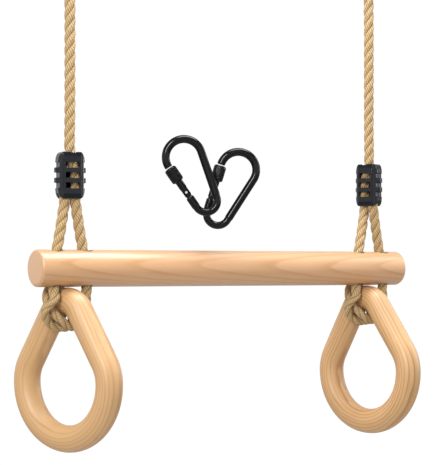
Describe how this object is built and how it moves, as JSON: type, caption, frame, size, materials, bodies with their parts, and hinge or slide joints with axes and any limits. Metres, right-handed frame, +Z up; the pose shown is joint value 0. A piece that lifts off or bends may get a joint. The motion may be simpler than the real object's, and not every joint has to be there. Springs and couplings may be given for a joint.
{
  "type": "gymnastics rings",
  "caption": "Wooden trapeze bar hung on two looped ropes with plastic rope clamps, a teardrop wooden ring wrapped under each end, and loose screw-gate carabiners.",
  "frame": {"origin": "midway between the upper bearing points of the two steel hanging rings, where the set is hung up", "axes": "+X runs along the bar from the left ring to the right ring, +Y away from the front, +Z up"},
  "size_m": [0.425, 0.1293, 0.578],
  "materials": {
    "bar_wood": "sanded pine under clear matt varnish",
    "ring_wood": "golden turned pine under satin varnish",
    "rope": "laid natural-fibre rope, slightly hairy",
    "clamp_plastic": "moulded black plastic, semi-gloss",
    "black_metal": "satin black coat on steel",
    "steel": "plain zinc-bright steel"
  },
  "bodies": {
    "root": {"left_hanging_ring": "steel", "right_hanging_ring": "steel", "front_carabiner_body": "black_metal", "rear_carabiner_body": "black_metal", "front_carabiner_rivet": "steel", "rear_carabiner_rivet": "steel"},
    "trapeze": {"trapeze_bar": "bar_wood", "left_rope": "rope", "left_clamp_front_shell": "clamp_plastic", "left_clamp_back_shell": "clamp_plastic", "left_thimble": "clamp_plastic", "left_ferrule": "steel", "right_rope": "rope", "right_clamp_front_shell": "clamp_plastic", "right_clamp_back_shell": "clamp_plastic", "right_thimble": "clamp_plastic", "right_ferrule": "steel"},
    "left_ring": {"left_ring": "ring_wood"},
    "right_ring": {"right_ring": "ring_wood"},
    "front_gate": {"front_carabiner_gate": "black_metal", "front_carabiner_spring": "steel", "front_carabiner_plunger": "steel"},
    "front_sleeve": {"front_carabiner_sleeve": "black_metal"},
    "rear_gate": {"rear_carabiner_gate": "black_metal", "rear_carabiner_spring": "steel", "rear_carabiner_plunger": "steel"},
    "rear_sleeve": {"rear_carabiner_sleeve": "black_metal"}
  },
  "joints": [
    {"name": "trapeze_swing", "type": "hinge", "parent": "root", "child": "trapeze", "pos_m": [0, 0, -0.043], "axis": [1, 0, 0], "range_deg": [-70, 70]},
    {"name": "left_ring_swing", "type": "hinge", "parent": "trapeze", "child": "left_ring", "pos_m": [-0.179, 0, -0.44976], "axis": [0.9466, 0.3223, 0], "range_deg": [-10, 10]},
    {"name": "right_ring_swing", "type": "hinge", "parent": "trapeze", "child": "right_ring", "pos_m": [0.173, 0, -0.44976], "axis": [0.9803, 0.1977, 0], "range_deg": [-10, 10]},
    {"name": "front_gate_open", "type": "hinge", "parent": "root", "child": "front_gate", "pos_m": [-0.05396, -0.00931, -0.32657], "axis": [0.5388, 0.8425, 0], "range_deg": [0, 38], "stiffness_Nm_per_rad": 0.25, "springref_deg": -20.05},
    {"name": "front_sleeve_screw", "type": "slide", "parent": "front_gate", "child": "front_sleeve", "axis": [-0.4816, 0.308, 0.8205], "range_m": [-0.006, 0.0036]},
    {"name": "rear_gate_open", "type": "hinge", "parent": "root", "child": "rear_gate", "pos_m": [-0.02585, -0.01184, -0.32709], "axis": [0.5388, 0.8425, 0], "range_deg": [0, 38], "stiffness_Nm_per_rad": 0.25, "springref_deg": -20.05},
    {"name": "rear_sleeve_screw", "type": "slide", "parent": "rear_gate", "child": "rear_sleeve", "axis": [0.2425, -0.1551, 0.9577], "range_m": [-0.006, 0.0036]}
  ]
}
